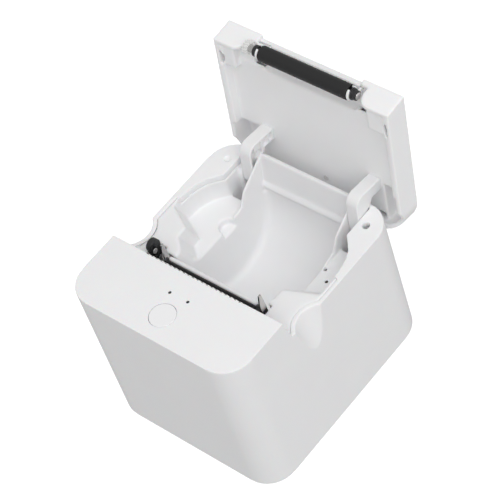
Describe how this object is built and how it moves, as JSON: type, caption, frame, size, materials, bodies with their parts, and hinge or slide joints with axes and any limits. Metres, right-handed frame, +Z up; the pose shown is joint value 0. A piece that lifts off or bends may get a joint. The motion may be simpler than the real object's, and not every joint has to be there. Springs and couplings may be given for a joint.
{
  "type": "receipt printer",
  "caption": "Compact white thermal receipt printer, lift-up lid open over the curved paper bay, with platen roller, print head, latch hooks and feed button.",
  "frame": {"origin": "centre of the rubber foot ring's underside, on the surface that the printer stands on", "axes": "+X to the right along the deck's edge, +Y from the feed button towards the lid's hinge, +Z up"},
  "size_m": [0.112, 0.1534, 0.1535],
  "materials": {
    "housing_white": "fine satin moulding",
    "inner_white": "fine satin moulding",
    "cap_white": "fine satin moulding",
    "black_plastic": "satin moulding",
    "gear_plastic": "acetal, slightly glossy",
    "light_pipe": "smoked",
    "led_lens": "clear",
    "board_green": "solder mask",
    "platen_rubber": "ground",
    "foot_rubber": "matte",
    "steel_plate": "stamped",
    "steel_bright": "turned",
    "blackened_steel": "blackened strip",
    "steel_screw": "zinc plated",
    "aluminium": "extruded",
    "brass": "turned",
    "head_ceramic": "glazed strip",
    "cable_film": "polyimide film"
  },
  "bodies": {
    "base": {"outer_shell": "housing_white", "paper_bucket": "inner_white", "base_cover": "inner_white", "foot_ring": "foot_rubber", "base_screws": "steel_screw", "button_board": "board_green", "tact_switch": "black_plastic", "status_leds": "led_lens", "light_pipes": "light_pipe", "mech_chassis": "black_plastic", "chassis_screws": "steel_screw", "print_head": "head_ceramic", "heat_sink": "blackened_steel", "head_spring": "steel_plate", "head_ribbon": "cable_film", "tear_bar": "steel_bright", "paper_sensor": "black_plastic", "gear_plate": "steel_plate", "gear_cover": "black_plastic", "cover_screw": "steel_screw", "stepper_motor": "steel_plate", "gear_axles": "steel_bright", "main_board": "board_green", "board_screws": "steel_screw", "board_chips": "black_plastic", "dc_jack": "black_plastic", "usb_port": "steel_bright", "hinge_pins": "steel_bright"},
    "lid": {"lid_shell": "housing_white", "lid_liner": "inner_white", "hinge_arm_left": "inner_white", "hinge_arm_right": "inner_white", "platen_clips": "inner_white", "platen_bushes": "black_plastic", "lid_screw": "steel_screw"},
    "platen": {"platen_shaft": "steel_bright", "platen_rubber": "platen_rubber", "platen_gear": "gear_plastic"},
    "latch": {"latch_hooks": "steel_bright"},
    "feed_button": {"button_cap": "cap_white"},
    "motor_rotor": {"motor_pinion": "brass"},
    "reduction": {"reduction_gear": "gear_plastic"},
    "idler": {"idler_gear": "gear_plastic"}
  },
  "joints": [
    {"name": "lid_hinge", "type": "hinge", "parent": "base", "child": "lid", "pos_m": [0, 0.0555, 0.075], "axis": [1, 0, 0], "range_deg": [0, 97.4]},
    {"name": "platen_spin", "type": "hinge", "parent": "lid", "child": "platen", "pos_m": [0, 0.07887, 0.14931], "axis": [1, 0, 0], "continuous": true},
    {"name": "latch_swing", "type": "hinge", "parent": "base", "child": "latch", "pos_m": [0, -0.0176, 0.076], "axis": [1, 0, 0], "range_deg": [-6, 0], "stiffness_Nm_per_rad": 0.3, "springref_deg": 5.73},
    {"name": "button_press", "type": "slide", "parent": "base", "child": "feed_button", "axis": [0, 0, -1], "range_m": [0, 0.0008], "stiffness_N_per_m": 400, "springref_m": -0.001},
    {"name": "reduction_spin", "type": "hinge", "parent": "base", "child": "reduction", "pos_m": [0, -0.02765, 0.0724], "axis": [1, 0, 0], "continuous": true},
    {"name": "idler_spin", "type": "hinge", "parent": "base", "child": "idler", "pos_m": [0, -0.0212, 0.07885], "axis": [1, 0, 0], "continuous": true},
    {"name": "motor_spin", "type": "hinge", "parent": "base", "child": "motor_rotor", "pos_m": [0, -0.03346, 0.06234], "axis": [1, 0, 0], "continuous": true}
  ],
  "couplings": [
    {"joint": "idler_spin", "follows": "reduction_spin", "ratio": -0.63636},
    {"joint": "motor_spin", "follows": "reduction_spin", "ratio": -2.8333}
  ]
}
